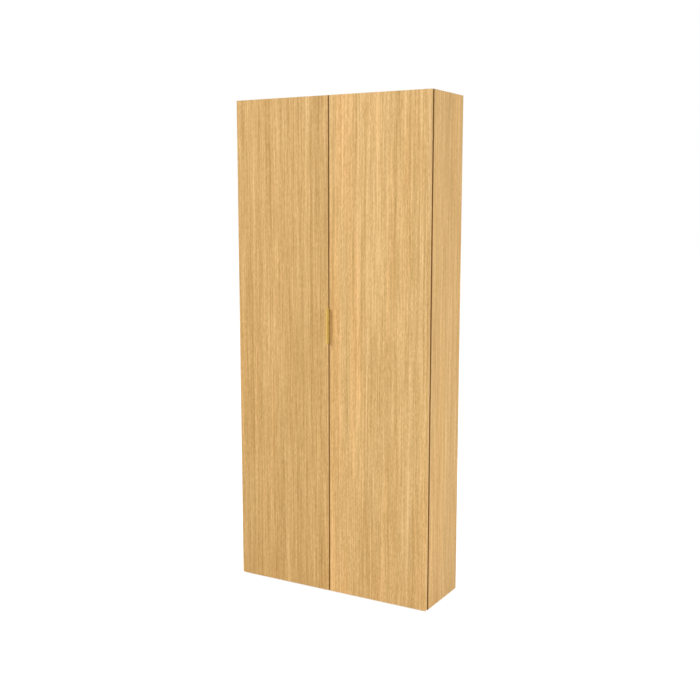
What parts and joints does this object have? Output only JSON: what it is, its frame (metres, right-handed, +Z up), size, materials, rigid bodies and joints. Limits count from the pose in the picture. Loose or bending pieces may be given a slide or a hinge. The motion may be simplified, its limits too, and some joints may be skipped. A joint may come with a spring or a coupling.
{
  "type": "broom cupboard",
  "caption": "Tall oak-veneered broom cupboard with two hinged slab doors, a brass edge pull, an open broom bay with pegs and a bay of adjustable shelves.",
  "frame": {"origin": "on the floor, under the middle of the whole cupboard, with the pull's projection counted in its depth", "axes": "+X to the right as seen from the front, -Y towards the front, +Z up"},
  "size_m": [0.9, 0.3174, 2.064],
  "materials": {
    "oak_veneer": "pale natural oak veneer, vertical grain, matt lacquer",
    "solid_oak": "solid oak, matt oil",
    "back_board": "thin veneered board, matt",
    "satin_brass": "satin brass",
    "nickel_steel": "nickel-plated steel",
    "zinc_steel": "bright zinc-plated steel",
    "zinc_casting": "die-cast zinc",
    "dark_magnet": "dark ferrite magnet",
    "white_plastic": "off-white moulded plastic",
    "brown_plastic": "dark brown moulded plastic",
    "clear_rubber": "milky soft bumper"
  },
  "bodies": {
    "carcass": {"arm_screws": "nickel_steel", "back_panel": "back_board", "back_screws": "zinc_steel", "bottom_panel": "oak_veneer", "cam_bolts": "zinc_steel", "cams": "zinc_casting", "catch_housing_left": "white_plastic", "catch_housing_right": "white_plastic", "catch_magnets": "dark_magnet", "catch_screws": "zinc_steel", "centre_partition": "oak_veneer", "dowels": "solid_oak", "fixing_rail_left": "solid_oak", "fixing_rail_right": "solid_oak", "glides": "brown_plastic", "hinge_arm_left_1": "nickel_steel", "hinge_arm_left_2": "nickel_steel", "hinge_arm_left_3": "nickel_steel", "hinge_arm_left_4": "nickel_steel", "hinge_arm_right_1": "nickel_steel", "hinge_arm_right_2": "nickel_steel", "hinge_arm_right_3": "nickel_steel", "hinge_arm_right_4": "nickel_steel", "hinge_plates_left": "nickel_steel", "hinge_plates_right": "nickel_steel", "peg_rail": "solid_oak", "pegs": "solid_oak", "plate_screws": "nickel_steel", "shelf_left_4": "oak_veneer", "shelf_right_1": "oak_veneer", "shelf_right_2": "oak_veneer", "shelf_right_3": "oak_veneer", "shelf_right_4": "oak_veneer", "shelf_supports": "nickel_steel", "side_panel_left": "oak_veneer", "side_panel_right": "oak_veneer", "top_panel": "oak_veneer"},
    "door_left": {"bumpers_left": "clear_rubber", "cup_screws_left": "nickel_steel", "door_left": "oak_veneer", "edge_pull": "satin_brass", "hinge_cup_left_1": "nickel_steel", "hinge_cup_left_2": "nickel_steel", "hinge_cup_left_3": "nickel_steel", "hinge_cup_left_4": "nickel_steel", "hinge_pins_left": "nickel_steel", "pull_screws": "satin_brass", "strike_plate_left": "nickel_steel"},
    "door_right": {"bumpers_right": "clear_rubber", "cup_screws_right": "nickel_steel", "door_right": "oak_veneer", "hinge_cup_right_1": "nickel_steel", "hinge_cup_right_2": "nickel_steel", "hinge_cup_right_3": "nickel_steel", "hinge_cup_right_4": "nickel_steel", "hinge_pins_right": "nickel_steel", "strike_plate_right": "nickel_steel"}
  },
  "joints": [
    {"name": "door_left_hinge", "type": "hinge", "parent": "carcass", "child": "door_left", "pos_m": [-0.4405, -0.13175, 1], "axis": [0, 0, -1], "range_deg": [0, 100]},
    {"name": "door_right_hinge", "type": "hinge", "parent": "carcass", "child": "door_right", "pos_m": [0.4405, -0.13175, 1], "axis": [0, 0, 1], "range_deg": [0, 100]}
  ]
}
